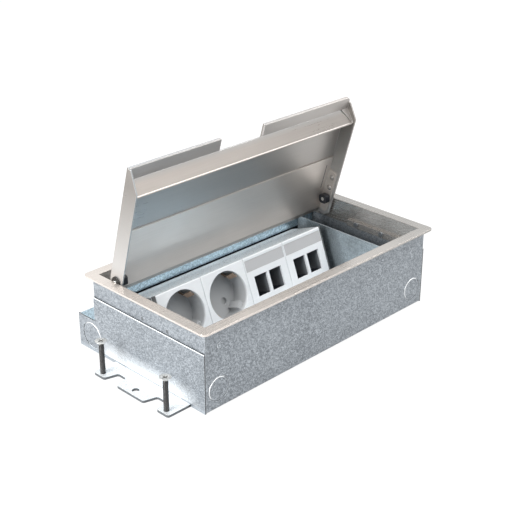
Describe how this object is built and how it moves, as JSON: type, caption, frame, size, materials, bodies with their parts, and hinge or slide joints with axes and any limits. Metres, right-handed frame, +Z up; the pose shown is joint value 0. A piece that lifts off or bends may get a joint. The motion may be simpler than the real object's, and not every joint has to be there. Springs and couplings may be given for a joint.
{
  "type": "floor socket box",
  "caption": "Rectangular galvanised floor box with a stainless trim frame, a tilted row of mains sockets and data outlets, and a lid that lifts and swings up.",
  "frame": {"origin": "middle of the housing's underside, below the centre of the lid opening", "axes": "+X along the length towards the data outlets, +Y towards the hinge side, +Z up"},
  "size_m": [0.2844, 0.1467, 0.1598],
  "materials": {
    "stainless": "brushed",
    "galvanised": "hot-dip zinc spangle",
    "white_plastic": "moulded",
    "grey_plastic": "moulded",
    "black_plastic": "moulded",
    "spring_steel": "bright",
    "brass": "bright",
    "zinc_steel": "zinc plated"
  },
  "bodies": {
    "housing": {"trim_frame": "stainless", "housing_shell": "galvanised", "end_plate_right": "galvanised", "end_plate_left": "galvanised", "partition_right": "galvanised", "partition_left": "galvanised", "module_carrier": "galvanised", "socket_cover_1": "white_plastic", "socket_cover_2": "white_plastic", "earth_clip_1": "spring_steel", "earth_clip_2": "spring_steel", "socket_base_1": "grey_plastic", "socket_base_2": "grey_plastic", "contact_sleeves_1": "brass", "contact_sleeves_2": "brass", "data_cover_1": "white_plastic", "data_cover_2": "white_plastic", "data_label_1": "grey_plastic", "data_label_2": "grey_plastic", "data_box_1": "grey_plastic", "data_box_2": "grey_plastic", "row_end_cap_right": "grey_plastic", "row_end_cap_left": "grey_plastic", "frame_rivets": "zinc_steel", "frame_screws": "zinc_steel", "carrier_screws": "zinc_steel", "earth_stud": "zinc_steel", "earth_nut": "zinc_steel"},
    "hinge_slide": {"pivot_pin_right": "zinc_steel", "pivot_pin_left": "zinc_steel", "pivot_block_right": "black_plastic", "pivot_block_left": "black_plastic", "pivot_ring_right": "spring_steel", "pivot_ring_left": "spring_steel"},
    "lid": {"lid_plate": "stainless", "lid_stiffener": "stainless", "lid_rivets": "stainless"},
    "screw_left_front": {"levelling_screw_left_front": "zinc_steel"},
    "screw_left_rear": {"levelling_screw_left_rear": "zinc_steel"},
    "screw_right_front": {"levelling_screw_right_front": "zinc_steel"},
    "screw_right_rear": {"levelling_screw_right_rear": "zinc_steel"}
  },
  "joints": [
    {"name": "hinge_lift", "type": "slide", "parent": "housing", "child": "hinge_slide", "axis": [0, 0, 1], "range_m": [-0.0073, 0.0016]},
    {"name": "lid_swing", "type": "hinge", "parent": "hinge_slide", "child": "lid", "pos_m": [0, 0.0383, 0.066], "axis": [-1, 0, 0], "range_deg": [-74, 16]},
    {"name": "level_left_front", "type": "slide", "parent": "housing", "child": "screw_left_front", "axis": [0, 0, -1], "range_m": [0, 0.022]},
    {"name": "level_left_rear", "type": "slide", "parent": "housing", "child": "screw_left_rear", "axis": [0, 0, -1], "range_m": [0, 0.022]},
    {"name": "level_right_front", "type": "slide", "parent": "housing", "child": "screw_right_front", "axis": [0, 0, -1], "range_m": [0, 0.022]},
    {"name": "level_right_rear", "type": "slide", "parent": "housing", "child": "screw_right_rear", "axis": [0, 0, -1], "range_m": [0, 0.022]}
  ],
  "couplings": [
    {"joint": "hinge_lift", "follows": "lid_swing", "m_per_rad": 0.005575}
  ]
}
